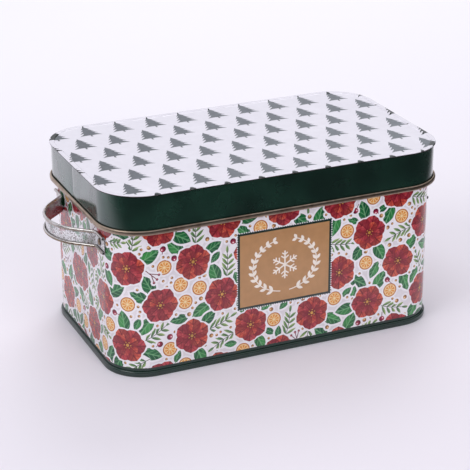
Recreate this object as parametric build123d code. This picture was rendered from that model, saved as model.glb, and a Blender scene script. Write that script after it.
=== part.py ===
from build123d import *
import math
import os

# A rectangular tin box with rounded corners, a lift-off lid and a riveted strap handle at each end.
# Millimetres. +X runs along the long side, +Z is up, and the origin is at the centre of the base.

# Overall sizes, over the rim of the lid
LID_LENGTH = 220.0
LID_WIDTH = 131.5
LID_CORNER_RADIUS = 27.4
OVERALL_HEIGHT = 115.5

# Tinplate
PLATE = 0.3
FOLD_GAP = 0.04
RUNNING_GAP = 0.2

# Lid: the rim where the top is hemmed over the skirt, and the bead along the skirt's lower edge
RIM_OVERHANG = 0.9
RIM_WIDTH = 2.6
PANEL_SINK = 0.5
PANEL_STEP = 0.4
RIM_NOSE = 0.2
LID_DEPTH = 24.4
BEAD_WIDTH = 1.9
BEAD_HEIGHT = 3.0

# Body: the curl round the mouth, and the play of the lid over it
CURL_DIAMETER = 2.3
LID_PLAY = 0.6

# Base: the seam that makes the foot, and the rise of the panel above the floor
FOOT_HEIGHT = 3.4
FOOT_REACH = 1.3
FOOT_SHOULDER = 0.5
BASE_RISE = 2.4
HOOK_HEIGHT = 1.7

# Lap joints of the two bands, at the middle of the left end
LAP_WIDTH = 5.0
LAP_GROOVE = 0.3

# Handles: a strap with curled edges
STRAP_PLATE = 0.45
STRAP_HEIGHT = 11.0
STRAP_CURL = 2.0
HANDLE_LEVEL = 79.6
HANDLE_REACH = 21.8
HANDLE_SLOPE = 48.0
FOOT_BEND_RADIUS = 4.5
TAB_LENGTH = 12.5

# Rivets: each stands on the flat of an end, inside the start of the corner and outside the strap's bend
RIVET_MARGIN = 2.4
RIVET_SETBACK = 5.0
RIVET_SHANK = 2.4
RIVET_HEAD = 4.2
RIVET_HEAD_HEIGHT = 1.1
RIVET_TAIL = 3.6
RIVET_TAIL_HEIGHT = 0.7
RIVET_FLAT = 1.8
CUT_OVERRUN = 1.0

# Facets: in a full turn of a rolled edge, in a curl, in the top of the bead, and round a rivet
ROLL_FLAT_COUNT = 8
CURL_FLAT_COUNT = 6
BEAD_FLAT_COUNT = 3
RIVET_SIDE_COUNT = 12

# Sizes that follow from those above
SKIRT_LENGTH = LID_LENGTH - 2 * RIM_OVERHANG
SKIRT_WIDTH = LID_WIDTH - 2 * RIM_OVERHANG
SKIRT_RADIUS = LID_CORNER_RADIUS - RIM_OVERHANG
CURL_REACH = CURL_DIAMETER - PLATE
BODY_INSET = PLATE + LID_PLAY + CURL_REACH
BODY_LENGTH = SKIRT_LENGTH - 2 * BODY_INSET
BODY_WIDTH = SKIRT_WIDTH - 2 * BODY_INSET
BODY_RADIUS = SKIRT_RADIUS - BODY_INSET
PANEL_TOP = OVERALL_HEIGHT - PANEL_SINK
MOUTH_HEIGHT = PANEL_TOP - PLATE - RUNNING_GAP
SKIRT_FOOT = OVERALL_HEIGHT - LID_DEPTH
RIVET_PLACE = BODY_WIDTH / 2 - BODY_RADIUS - RIVET_MARGIN
HANDLE_HALF_SPAN = RIVET_PLACE - RIVET_SETBACK


def strip(*points, thickness=PLATE):
    """The section of a bent sheet: its mid-line, widened to the sheet's thickness."""
    return trace(Polyline(*points), thickness)


def roll(centre, radius, start, flats, turning=1):
    """The corners of a rolled edge, which stand outside a circle so that its flats lie on it."""
    flat = turning * 360 / ROLL_FLAT_COUNT
    reach = radius / math.cos(math.radians(flat / 2))
    angles = [math.radians(start + flat * (step + 0.5)) for step in range(flats)]
    return [(centre[0] + reach * math.cos(angle), centre[1] + reach * math.sin(angle)) for angle in angles]


def along(section, path):
    """Carry a section along a level path of lines and arcs. Its zero is on the path, its first axis out."""
    runs = []
    for edge in path.edges():
        start = edge @ 0
        heading = edge % 0
        outward = heading.cross(Vector(0, 0, 1))
        face = Plane(origin=start, x_dir=outward, z_dir=-heading) * section
        if edge.geom_type == GeomType.LINE:
            runs.append(extrude(face, amount=edge.length, dir=heading))
        else:
            centre = edge.arc_center
            turns_left = heading.cross(centre - start).Z > 0
            axis = Axis(centre, (0, 0, 1 if turns_left else -1))
            runs.append(revolve(face, axis=axis, revolution_arc=math.degrees(edge.length / edge.radius)))
    return Part() + runs


def band(section, length, width, radius):
    """Carry a section round a rounded rectangle."""
    return along(section, RectangleRounded(length, width, radius).wire())


def sheet(length, width, radius, bottom):
    """A flat rounded sheet with its underside at the given height."""
    return Pos(0, 0, bottom) * extrude(RectangleRounded(length, width, radius), PLATE)


def lap(length, bottom, top):
    """The inner layer of a band's lap joint, at the middle of its left end."""
    centre = Pos(-length / 2 + 1.5 * PLATE, 0, (bottom + top) / 2)
    return centre * Box(PLATE, LAP_WIDTH, top - bottom)


def lap_groove(length, bottom, top):
    """The fine step outside, where the outer layer of the lap ends."""
    centre = Pos(-length / 2, LAP_WIDTH / 2, (bottom + top) / 2)
    return centre * Box(PLATE, LAP_GROOVE, top - bottom)


def make_lid_skirt():
    """The band of the lid: a flange under the rim, a straight wall, and an oval bead rolled outward."""
    wall_line = -PLATE / 2
    flange_level = OVERALL_HEIGHT - 1.5 * PLATE - FOLD_GAP
    flange_end = RIM_OVERHANG - 1.5 * PLATE - FOLD_GAP
    radius = (BEAD_WIDTH - PLATE) / 2
    bead_centre = wall_line + radius
    bead_bottom = SKIRT_FOOT + BEAD_WIDTH / 2
    bead_top = SKIRT_FOOT + BEAD_HEIGHT - BEAD_WIDTH / 2
    section = strip(
        (flange_end, flange_level),
        (wall_line, flange_level),
        *roll((bead_centre, bead_bottom), radius, 180, ROLL_FLAT_COUNT // 2),
        *roll((bead_centre, bead_top), radius, 0, BEAD_FLAT_COUNT),
    )
    skirt = band(section, SKIRT_LENGTH, SKIRT_WIDTH, SKIRT_RADIUS)
    lap_bottom = SKIRT_FOOT + BEAD_HEIGHT
    lap_top = flange_level - PLATE / 2
    skirt += lap(SKIRT_LENGTH, lap_bottom, lap_top)
    skirt -= lap_groove(SKIRT_LENGTH, lap_bottom, lap_top)
    return skirt


def make_lid_panel():
    """The top of the lid: a sunk panel, a raised rim, and an edge hemmed round the skirt's flange."""
    rim_line = OVERALL_HEIGHT - PLATE / 2
    sunk_line = PANEL_TOP - PLATE / 2
    hem_line = rim_line - 2 * (PLATE + FOLD_GAP)
    nose_line = RIM_OVERHANG - PLATE / 2
    hem_end = PLATE / 2
    step_end = RIM_OVERHANG - RIM_WIDTH
    step_start = step_end - 2 * PANEL_STEP
    plate_inset = -step_start
    section = strip(
        (step_start - PANEL_STEP, sunk_line),
        (step_start, sunk_line),
        (step_end, rim_line),
        (nose_line - RIM_NOSE, rim_line),
        (nose_line, rim_line - RIM_NOSE),
        (nose_line, hem_line + RIM_NOSE),
        (nose_line - RIM_NOSE, hem_line),
        (hem_end, hem_line),
    )
    rim = band(section, SKIRT_LENGTH, SKIRT_WIDTH, SKIRT_RADIUS)
    middle = sheet(
        SKIRT_LENGTH - 2 * plate_inset,
        SKIRT_WIDTH - 2 * plate_inset,
        SKIRT_RADIUS - plate_inset,
        PANEL_TOP - PLATE,
    )
    return rim + middle


def shank(radius, length):
    """A faceted rod, centred on the middle of the sheets that a rivet holds."""
    return extrude(RegularPolygon(radius, RIVET_SIDE_COUNT), length / 2, both=True)


def at_rivets(solid, side):
    """The same solid at both rivets of an end, its Z axis pointing out of the box."""
    middle = BODY_LENGTH / 2 + (STRAP_PLATE - PLATE) / 2
    turned = Rot(0, side * 90, 0) * solid
    return [Pos(side * middle, place, HANDLE_LEVEL) * turned for place in (-RIVET_PLACE, RIVET_PLACE)]


def rivet_holes(side):
    """The holes that an end's rivets pass through, long enough for strap and wall."""
    depth = PLATE + STRAP_PLATE + 2 * CUT_OVERRUN
    return at_rivets(shank(RIVET_SHANK / 2 + FOLD_GAP, depth), side)


def make_body_wall():
    """The band of the body: a hook inside the foot seam, a straight wall, and a curl round the mouth."""
    wall_line = -PLATE / 2
    hook_line = wall_line + PLATE + FOLD_GAP
    hook_bottom = 1.5 * PLATE + FOLD_GAP
    radius = (CURL_DIAMETER - PLATE) / 2
    curl_level = MOUTH_HEIGHT - CURL_DIAMETER / 2
    section = strip(
        (hook_line, hook_bottom + HOOK_HEIGHT),
        (hook_line, hook_bottom),
        (wall_line, hook_bottom),
        *roll((wall_line + radius, curl_level), radius, 180, CURL_FLAT_COUNT, turning=-1),
    )
    wall = band(section, BODY_LENGTH, BODY_WIDTH, BODY_RADIUS)
    lap_bottom = FOOT_HEIGHT + PLATE
    lap_top = curl_level - CURL_DIAMETER / 2
    wall += lap(BODY_LENGTH, lap_bottom, lap_top)
    wall -= lap_groove(BODY_LENGTH, lap_bottom, lap_top)
    for side in (-1, 1):
        for hole in rivet_holes(side):
            wall -= hole
    return wall


def make_base_panel():
    """The base: a raised panel whose edge goes down inside the wall, under it, and up round its hook."""
    inner_line = -PLATE - FOLD_GAP - PLATE / 2
    outer_line = FOOT_REACH - PLATE / 2
    floor_line = PLATE / 2
    panel_line = BASE_RISE + PLATE / 2
    lip_end = PLATE / 2 + FOLD_GAP
    lip_line = FOOT_HEIGHT - PLATE / 2
    panel_edge = inner_line - 2 * PLATE
    section = strip(
        (panel_edge, panel_line),
        (inner_line, panel_line),
        (inner_line, floor_line),
        (outer_line, floor_line),
        (outer_line, lip_line - FOOT_SHOULDER),
        (outer_line - FOOT_SHOULDER, lip_line),
        (lip_end, lip_line),
    )
    seam = band(section, BODY_LENGTH, BODY_WIDTH, BODY_RADIUS)
    middle = sheet(
        BODY_LENGTH + 2 * panel_edge,
        BODY_WIDTH + 2 * panel_edge,
        BODY_RADIUS + panel_edge,
        BASE_RISE,
    )
    return seam + middle


def handle_path():
    """The plan of a handle's strap, from tab to tab: flat tabs, two sloping runs and a wide bow."""
    wall = BODY_LENGTH / 2 + STRAP_PLATE / 2
    bow_top = BODY_LENGTH / 2 + HANDLE_REACH - STRAP_CURL + STRAP_PLATE / 2
    slope = math.radians(HANDLE_SLOPE)
    apex = wall + HANDLE_HALF_SPAN * math.tan(slope)
    bow_radius = (apex - bow_top) / (1 / math.cos(slope) - 1)
    tab_end = HANDLE_HALF_SPAN + TAB_LENGTH
    points = [
        (wall, -tab_end),
        (wall, -HANDLE_HALF_SPAN),
        (apex, 0),
        (wall, HANDLE_HALF_SPAN),
        (wall, tab_end),
    ]
    return FilletPolyline(*points, radius=[FOOT_BEND_RADIUS, bow_radius, FOOT_BEND_RADIUS])


def make_handle(side):
    """A strap with both edges curled outward, bent to its plan and pierced for its rivets."""
    radius = (STRAP_CURL - STRAP_PLATE) / 2
    level = STRAP_HEIGHT / 2 - STRAP_CURL / 2
    lower = roll((radius, -level), radius, 180, CURL_FLAT_COUNT)
    upper = roll((radius, level), radius, 180, CURL_FLAT_COUNT, turning=-1)
    section = strip(*reversed(lower), *upper, thickness=STRAP_PLATE)
    path = handle_path()
    strap = Pos(0, 0, HANDLE_LEVEL) * along(section, path)
    if side < 0:
        strap = Rot(0, 0, 180) * strap
    for hole in rivet_holes(side):
        strap -= hole
    return strap


def head(diameter, height):
    """A rivet's sloping head standing on z = 0."""
    slope = math.degrees(math.atan2((diameter - RIVET_FLAT) / 2, height))
    return extrude(RegularPolygon(diameter / 2, RIVET_SIDE_COUNT), height, taper=slope)


def make_rivets(side):
    """An end's two rivets: heads on the strap, shanks, and flatter heads inside the wall."""
    grip = PLATE + STRAP_PLATE
    front = Pos(0, 0, grip / 2) * head(RIVET_HEAD, RIVET_HEAD_HEIGHT)
    back = Pos(0, 0, -grip / 2) * Rot(180, 0, 0) * head(RIVET_TAIL, RIVET_TAIL_HEIGHT)
    return at_rivets(shank(RIVET_SHANK / 2, grip) + front + back, side)


def save(shape, node):
    """Write one node's solids to its own file."""
    export_step(shape, f"parts/{node}.step")


def main():
    os.makedirs("parts", exist_ok=True)
    save(make_lid_panel(), "lid_panel")
    save(make_lid_skirt(), "lid_skirt")
    save(make_body_wall(), "body_wall")
    save(make_base_panel(), "base_panel")
    for side, name in ((-1, "left"), (1, "right")):
        save(make_handle(side), f"{name}_handle")
        save(Compound(children=make_rivets(side)), f"{name}_rivets")


main()
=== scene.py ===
import random
from math import atan2, ceil, copysign, cos, degrees, pi, radians, sin, tan, tau

import bmesh
import bpy
import numpy as np
from mathutils import Matrix, Vector
from mathutils.geometry import delaunay_2d_cdt


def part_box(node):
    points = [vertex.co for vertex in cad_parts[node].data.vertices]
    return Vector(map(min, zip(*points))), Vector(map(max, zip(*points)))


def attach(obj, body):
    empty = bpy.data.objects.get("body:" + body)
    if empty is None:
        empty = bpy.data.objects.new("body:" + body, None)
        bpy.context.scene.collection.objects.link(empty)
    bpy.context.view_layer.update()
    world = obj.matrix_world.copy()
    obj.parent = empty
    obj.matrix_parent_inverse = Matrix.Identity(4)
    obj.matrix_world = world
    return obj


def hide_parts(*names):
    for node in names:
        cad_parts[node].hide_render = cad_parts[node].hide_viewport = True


# The looks of a printed tin box. Every piece is one sheet of tinplate: printed or lacquered on one face and
# bare on the other, so an edge that is rolled outward shows bare metal.
# Metres, in the frame's own axes: +X along the long side, +Z up, the photographed front towards -Y.

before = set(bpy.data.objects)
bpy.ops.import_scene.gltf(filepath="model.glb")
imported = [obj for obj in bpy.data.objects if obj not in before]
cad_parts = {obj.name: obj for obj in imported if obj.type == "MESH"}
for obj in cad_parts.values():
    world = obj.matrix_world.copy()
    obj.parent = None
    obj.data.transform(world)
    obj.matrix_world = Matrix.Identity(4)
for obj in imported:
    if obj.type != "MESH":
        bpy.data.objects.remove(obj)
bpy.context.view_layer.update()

MM = 0.001

# Corners of the pieces at rest, from the frame
wall_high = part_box("body_wall")[1]
panel_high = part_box("lid_panel")[1]
skirt_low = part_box("lid_skirt")[0]
base_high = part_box("base_panel")[1]
strap_low, strap_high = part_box("right_handle")
rivets_low, rivets_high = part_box("right_rivets")

# Sheet
PLATE = 0.3 * MM
FOLD_GAP = 0.04 * MM
FOLD = PLATE + FOLD_GAP
FOLD_RADIUS = 0.19 * MM

# Lid
LID_CORNER_RADIUS = 27.4 * MM
RIM_OVERHANG = 0.9 * MM
RIM_WIDTH = 2.6 * MM
RIM_STEP = 0.8 * MM
RIM_NOSE_RADIUS = 0.25 * MM
PANEL_SINK = 0.5 * MM
FLANGE_BEND_RADIUS = 0.35 * MM
FLANGE_REACH = 0.56 * MM
BEAD_WIDTH = 1.9 * MM
BEAD_HEIGHT = 3.0 * MM
BEAD_TURN = 125.0

# Body and base
CURL_DIAMETER = 2.3 * MM
CURL_TURN = 300.0
HOOK_HEIGHT = 1.7 * MM
BASE_RISE = 2.4 * MM
BASE_FLAT_OUT = -2.5 * MM
BASE_BEND_RADIUS = 0.5 * MM
FOOT_REACH = 1.3 * MM
FOOT_SHOULDER_RADIUS = 0.75 * MM

# Lap joints at the middle of the left end: a fine groove where the outer layer stops
LAP_OFFSET = 2.5 * MM
LAP_GROOVE = 1.6 * MM
LAP_DEPTH = 0.15 * MM
LAP_SLOPE = 0.6 * MM

# Handles and rivets
STRAP_PLATE = 0.45 * MM
STRAP_CURL = 2.0 * MM
HANDLE_SLOPE = 48.0
RIVET_SETBACK = 5.0 * MM
STRAP_BEND_RADIUS = 4.5 * MM
RIVET_HEAD = 4.2 * MM
RIVET_HEAD_HEIGHT = 1.1 * MM
RIVET_TAIL = 3.6 * MM
RIVET_TAIL_HEIGHT = 0.7 * MM
RIVET_FULLNESS = 0.8
RIVET_ACROSS = rivets_high.y - RIVET_HEAD / 2

# Print
BORDER_TOP = 5.4 * MM
FLOWER_PITCH = 39.0 * MM
FLOWER_ROW_PITCH = 23.5 * MM
FLOWER_WANDER = 1.5 * MM
CITRUS_WEDGES = 9
GROW_TRIES = 24
LABEL_WIDTH = 62.0 * MM
LABEL_HEIGHT = 49.5 * MM
LABEL_BOTTOM = 31.5 * MM
LABEL_LINE = 1.7 * MM
LABEL_BEAD = 0.42 * MM
LABEL_BEAD_PITCH = 1.5 * MM
TREE_PITCH = 21.45 * MM
TREE_ROW_PITCH = 20.9 * MM
TREE_START = Vector((-102.9 * MM, 45.9 * MM))
TREE_HEIGHT = 17.9 * MM
TREE_WIDTH = 14.7 * MM
TREE_ROWS = range(7)
TREE_COLUMNS = range(-1, 11)
PRINT_MARGIN = 0.05 * MM

# Sizes in the motifs' own millimetres, and the layers of the print
HALO = 1.25
GROW_START = 8
UNDER, BETWEEN, OVER = range(3)

BODY_PAINTS = [
    "print_ground", "print_halo", "petal", "stamen", "citrus", "leaf", "sprig", "stem", "stem_red", "berry",
    "gold_dot", "border_green", "kraft", "label_white", "tin",
]

# The photograph's view, which was fitted to the box's corners, and the stage
CAMERA_AZIMUTH = 23.891
CAMERA_ELEVATION = 22.649
CAMERA_ROLL = -0.203
CAMERA_DISTANCE = 1049.448 * MM
CAMERA_ACROSS = 4.748 * MM
CAMERA_UP = -47.700 * MM
SENSOR = 36.0
CAMERA_LENS = 125.455
WORLD_BRIGHT_SIDE = (-0.25, -0.1, 0.85)
WORLD_STOPS = ((0.0, (0.12, 0.12, 0.125, 1.0)), (0.65, (0.49, 0.49, 0.51, 1.0)))
WORLD_SEEN = (0.88, 0.87, 0.95, 1.0)
FLOOR_RADIUS = 4.0
FLOOR_SIDES = 96
# From FLOOR_NEAR to FLOOR_FAR the floor's colour is painted lighter towards the back: painted light.
FLOOR_NEAR = -0.4
FLOOR_FAR = 1.0
FLOOR_FADE = (0.24, 0.6)
CARD_CENTRE = Vector((-0.04, 0.22))
CARD_INNER = 0.36
CARD_DARK = 0.50
CARD_OUTER = 2.0
CARD_LEVEL = 1.0 * MM
CARD_HEIGHT = 1.4
CARD_SIDES = (170.0, 398.0)
CARD_STEPS = 24
LAMPS = (
    # Name, place, size, power, whether it shows in reflections
    ("overhead", (-0.1, 0.1, 1.6), 1.3, 6.5, False),
    ("back", (0.8, 1.2, 1.5), 1.2, 12.5, True),
    ("left_side", (-1.6, -0.5, 1.3), 1.2, 10.5, True),
    ("front_fill", (0.2, -2.0, 0.9), 1.2, 12.5, False),
)

# Fineness of the meshes
ARC_STEP = radians(5.0)
ROLL_STEP = radians(20.0)
BRACE = 0.35 * MM
# The width of the strip of the strap's face beside each curl that is painted dark as shade
STRAP_SHADE_BAND = 0.8 * MM
RIM_STEPS = 4
NOSE_STEPS = 5
RIVET_STEPS = 7
RIVET_SIDES = 24
WELD = 2e-6
SLIVER = 0.03 * MM * MM

# Sizes that follow
RIM_TOP = panel_high.z
PANEL_TOP = RIM_TOP - PANEL_SINK
SKIRT_HALF_LENGTH = panel_high.x - RIM_OVERHANG
SKIRT_HALF_WIDTH = panel_high.y - RIM_OVERHANG
SKIRT_RADIUS = LID_CORNER_RADIUS - RIM_OVERHANG
CURL_REACH = CURL_DIAMETER - PLATE
BODY_HALF_LENGTH = wall_high.x - CURL_REACH
BODY_HALF_WIDTH = wall_high.y - CURL_REACH
BODY_RADIUS = SKIRT_RADIUS - (SKIRT_HALF_LENGTH - BODY_HALF_LENGTH)


class Route:
    """A flat line of straight runs and arcs through corners. Its outer side is on the right of the way."""

    def __init__(self, corners, radii):
        corners = [Vector(corner) for corner in corners]
        self.runs = []
        here = corners[0]
        for before, corner, after, radius in zip(corners, corners[1:], corners[2:], radii):
            into = (corner - before).normalized()
            out = (after - corner).normalized()
            turn = atan2(into.x * out.y - into.y * out.x, into.dot(out))
            cut = radius * tan(abs(turn) / 2)
            self.add_line(here, corner - into * cut)
            self.add_arc(corner - into * cut, into, turn, radius)
            here = corner + out * cut
        self.add_line(here, corners[-1])
        self.length = sum(run[0] for run in self.runs)

    def add_line(self, start, end):
        if (end - start).length > WELD:
            self.runs.append(((end - start).length, start, (end - start).normalized(), 0.0))

    def add_arc(self, start, heading, turn, radius):
        self.runs.append((radius * abs(turn), start, heading, copysign(1 / radius, turn)))

    def place(self, distance):
        """The point and the outward direction at a distance along the route."""
        for run in self.runs[:-1]:
            if distance <= run[0]:
                break
            distance -= run[0]
        else:
            run = self.runs[-1]
        _, start, heading, bend = run
        side = Vector((heading.y, -heading.x))
        if not bend:
            return start + heading * distance, side
        angle = distance * bend
        point = start + (heading * sin(angle) - side * (1 - cos(angle))) / bend
        return point, side * cos(angle) + heading * sin(angle)

    def stations(self, step=ARC_STEP):
        """Distances to the ends of every run, and to even steps along the arcs."""
        found = [0.0]
        for length, _, _, bend in self.runs:
            count = max(1, ceil(length * abs(bend) / step))
            found += [found[-1] + length / count * n for n in range(1, count + 1)]
        return found

    def points(self):
        return [self.place(distance)[0] for distance in self.stations(ROLL_STEP)]

    def outline(self, out):
        """The corners of the closed line that runs a distance outside this one."""
        return [point + side * out for point, side in map(self.place, self.stations()[:-1])]


def ring(half_length, half_width, radius):
    """A rounded rectangle, walked from the middle of the left end round the front."""
    sides = ((-1, -1), (1, -1), (1, 1), (-1, 1))
    corners = [(x * half_length, y * half_width) for x, y in sides]
    return Route([(-half_length, 0), *corners, (-half_length, 0)], [radius] * 4)


def direction(turn):
    return Vector((cos(turn), sin(turn)))


def roll(centre, radius, start, turn):
    """Points of a rolled edge. Angles in degrees, turning towards +."""
    steps = ceil(abs(radians(turn)) / ROLL_STEP)
    return [Vector(centre) + radius * heading(start + turn * n / steps) for n in range(steps + 1)]


def braces(start, end, reach=BRACE):
    """Two points just inside the ends of a long flat, which keep the shading of its bends off it."""
    ahead = (end - start).normalized() * reach
    return [start + ahead, end - ahead]


def sheet_section(line, thickness):
    """The outline of a bent sheet: its right-hand face forwards, then its left-hand face back."""
    line = [point for n, point in enumerate(line) if n == 0 or (point - line[n - 1]).length > WELD]
    right, left = [], []
    for n, point in enumerate(line):
        into = (point - line[n - 1]).normalized() if n else None
        out = (line[n + 1] - point).normalized() if n + 1 < len(line) else into
        into = into or out
        ahead = (into + out).normalized()
        side = Vector((ahead.y, -ahead.x)) * (thickness / 2 / ahead.dot(into))
        right.append(point + side)
        left.append(point - side)
    return right + left[::-1]


class Shell:
    """Collects faces, each with a paint and a print coordinate at every corner, for one welded piece."""

    def __init__(self):
        self.points, self.faces = [], []

    def add(self, points):
        start = len(self.points)
        self.points += [tuple(point) for point in points]
        return start

    def face(self, corners, paint, prints=None, seed=(0.0, 0.0), normals=None):
        count = len(corners)
        prints = prints or [(0.0, 0.0)] * count
        self.faces.append((corners, paint, prints, [seed] * count, normals or [(0.0, 0.0, 0.0)] * count))

    def plate(self, outline, level, paint):
        """One flat face."""
        start = self.add([(*point, level) for point in outline])
        self.face([start + n for n in range(len(outline))], paint)

    def sweep(self, section, route, paint, closed=True, skip=(), lapped=()):
        """Carry a section (out, level) along a route. paint gives the paint of a numbered edge. The edges in
        skip are left out, and the points in lapped dip into the groove of the lap joint."""
        stations = lap_stations(route) if lapped else route.stations()
        if closed:
            stations = stations[:-1]
        rows = []
        for distance in stations:
            point, side = route.place(distance)
            row = []
            for number, (out, level) in enumerate(section):
                if number in lapped:
                    out -= lap_depth(route, distance)
                row.append((point.x + side.x * out, point.y + side.y * out, level))
            rows.append(self.add(row))
        count = len(section)
        pairs = list(zip(rows, rows[1:] + rows[:1]))
        for near, far in pairs if closed else pairs[:-1]:
            for n in range(count):
                after = (n + 1) % count
                if n not in skip:
                    self.face([near + n, far + n, far + after, near + after], paint(n))
        if not closed:
            self.face([rows[0] + n for n in range(count)], paint(count))
            self.face([rows[-1] + n for n in reversed(range(count))], paint(count))

    def piece(self, name, paints, smooth_angle=40.0):
        """Make the welded mesh object, smooth but for its sharp edges."""
        corners, used, prints, seeds, normals = zip(*self.faces)
        mesh = new_mesh(name, self.points, corners)
        for paint in paints:
            mesh.materials.append(bpy.data.materials[paint])
        mesh.polygons.foreach_set("material_index", [paints.index(paint) for paint in used])
        for label, rows in (("Print", prints), ("Seed", seeds)):
            mesh.uv_layers.new(name=label).data.foreach_set("uv", flattened(rows))
        facing = mesh.attributes.new("facing", "FLOAT_VECTOR", "CORNER")
        facing.data.foreach_set("vector", flattened(normals))
        welded = bmesh.new()
        welded.from_mesh(mesh)
        bmesh.ops.remove_doubles(welded, verts=welded.verts, dist=WELD)
        bmesh.ops.dissolve_degenerate(welded, edges=welded.edges, dist=WELD / 4)
        bmesh.ops.recalc_face_normals(welded, faces=welded.faces)
        welded.to_mesh(mesh)
        welded.free()
        mesh.shade_smooth()
        mesh.set_sharp_from_angle(angle=radians(smooth_angle))
        facing = mesh.attributes["facing"]
        values = np.zeros(len(mesh.loops) * 3, np.float32)
        facing.data.foreach_get("vector", values)
        if values.any():
            mesh.normals_split_custom_set(values.reshape(-1, 3))
        mesh.attributes.remove(mesh.attributes["facing"])
        return new_object(name, mesh)


def flattened(rows):
    return [value for row in rows for corner in row for value in corner]


def new_mesh(name, points, faces):
    mesh = bpy.data.meshes.new(name)
    mesh.from_pydata(points, [], faces)
    return mesh


def new_object(name, data):
    made = bpy.data.objects.new(name, data)
    bpy.context.scene.collection.objects.link(made)
    return made


class Artwork:
    """Flat shapes in painting order. Each has a paint, and a frame of its own for its shading."""

    def __init__(self, ground):
        self.ground = (None, ground, Vector((0, 0)), Vector((1, 0)), (1.0, 1.0), (0.0, 0.0))
        self.shapes = []

    def add(self, outline, paint, origin=(0, 0), axis=(1, 0), reach=(1.0, 1.0), seed=(0.0, 0.0)):
        self.shapes.append((outline, paint, Vector(origin), Vector(axis).normalized(), reach, seed))

    def coordinates(self, shape, point):
        _, _, origin, axis, reach, _ = shape
        away = point - origin
        return away.dot(axis) / reach[0], (axis.x * away.y - axis.y * away.x) / reach[1]

    def cut(self, sheet, window, lines):
        """Cut the sheet's outline by every shape, clipped to a convex window. Returns points and faces."""
        points, faces, owners = list(sheet), [list(range(len(sheet)))], [(sheet, self.ground)]
        for shape in self.shapes:
            outline = clipped(shape[0], window)
            if len(outline) < 3 or abs(area(outline)) < SLIVER:
                continue
            if area(outline) < 0:
                outline = outline[::-1]
            faces.append(list(range(len(points), len(points) + len(outline))))
            points += outline
            owners.append((outline, shape))
        edges = []
        for line in lines:
            edges += [(len(points) + n, len(points) + n + 1) for n in range(len(line) - 1)]
            points += line
        scaled = [Vector(point) / MM for point in points]
        found = delaunay_2d_cdt(scaled, edges, faces, 1, 1e-4, True)
        cut_points = [point * MM for point in found[0]]
        cut_faces = []
        for corners, sources in zip(found[2], found[5]):
            middle = sum((cut_points[n] for n in corners), Vector((0, 0))) / len(corners)
            on_top = [owners[n][1] for n in sorted(sources, reverse=True) if holds(owners[n][0], middle)]
            cut_faces.append((corners, on_top[0] if on_top else self.ground))
        return cut_points, cut_faces


def area(outline):
    return sum(a.x * b.y - a.y * b.x for a, b in zip(outline, outline[1:] + outline[:1])) / 2


def holds(outline, point):
    """Whether a point is inside an outline."""
    crossings = 0
    for here, after in zip(outline, outline[1:] + outline[:1]):
        if (here.y > point.y) != (after.y > point.y):
            share = (point.y - here.y) / (after.y - here.y)
            crossings += point.x < here.x + (after.x - here.x) * share
    return crossings % 2 == 1


def clipped(outline, window):
    """The part of an outline inside a convex, counterclockwise window."""
    for start, end in zip(window, window[1:] + window[:1]):
        along = end - start

        def depth(point):
            return along.x * (point.y - start.y) - along.y * (point.x - start.x)

        kept = []
        for here, after in zip(outline, outline[1:] + outline[:1]):
            a, b = depth(here), depth(after)
            if a >= 0:
                kept.append(here)
            if (a < 0) != (b < 0):
                kept.append(here + (after - here) * (a / (a - b)))
        outline = kept
        if not outline:
            break
    return outline


# Motifs of the print, each drawn about its own origin in millimetres

def blade(length, width, fullness, roundness, count):
    """A leaf or petal from the origin to its tip on +X. A fullness over 1 widens it towards the tip."""
    upper = []
    for n in range(1, count):
        share = n / count
        half = width / 2 * sin(pi * share ** fullness) ** roundness
        upper.append(Vector((length * share, half)))
    lower = [Vector((point.x, -point.y)) for point in upper]
    return [Vector((0, 0))] + lower + [Vector((length, 0))] + upper[::-1]


def disc(radius, count, centre):
    return [Vector(centre) + radius * direction(tau * n / count) for n in range(count)]


def bar(start, end, width):
    start, end = Vector(start), Vector(end)
    ahead = (end - start).normalized() * width / 2
    side = Vector((-ahead.y, ahead.x))
    return [start - side, end - side, end + side, start + side]


def rectangle(left, bottom, right, top):
    return [Vector((left, bottom)), Vector((right, bottom)), Vector((right, top)), Vector((left, top))]


def heading(angle):
    return direction(radians(angle))


class Motif:
    """Shapes about an origin, the white halos behind them, and the discs that keep others away."""

    def __init__(self, discs=()):
        self.discs = discs
        self.halos, self.shapes = [], []

    def blade(self, paint, length, width, at=(0, 0), angle=0.0,
              fullness=1.0, roundness=0.9, count=5, halo=False):
        turn = Matrix.Rotation(radians(angle), 2)

        def turned(outline, start):
            return [Vector(at) + turn @ (point + Vector((start, 0))) for point in outline]

        outline = turned(blade(length, width, fullness, roundness, count), 0)
        self.shapes.append((outline, paint, Vector(at), heading(angle), (length, width / 2)))
        if halo:
            wide = blade(length + 2.4 * HALO, width + 2 * HALO, fullness, roundness * 0.8, 6)
            self.halos.append(turned(wide, -1.2 * HALO))

    def disc(self, paint, radius, count, at=(0, 0), halo=False):
        self.shapes.append((disc(radius, count, at), paint, Vector(at), Vector((1, 0)), (radius, radius)))
        if halo:
            self.halos.append(disc(radius + HALO, max(8, count // 2), at))

    def bar(self, paint, start, end, width):
        start, end = Vector(start), Vector(end)
        reach = ((end - start).length, width)
        self.shapes.append((bar(start, end, width), paint, start, end - start, reach))

    def placed(self, point, angle):
        """The halos, shapes and discs in metres, moved to a point and turned by an angle."""
        turn = Matrix.Rotation(angle, 2)

        def moved(place):
            return point + turn @ Vector(place) * MM

        shapes = []
        for outline, paint, origin, axis, (long, wide) in self.shapes:
            outline = [moved(corner) for corner in outline]
            shapes.append((outline, paint, moved(origin), turn @ axis, (long * MM, wide * MM)))
        halos = [[moved(corner) for corner in outline] for outline in self.halos]
        discs = [(*moved((x, y)), radius * MM) for x, y, radius in self.discs]
        return halos, shapes, discs


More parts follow.
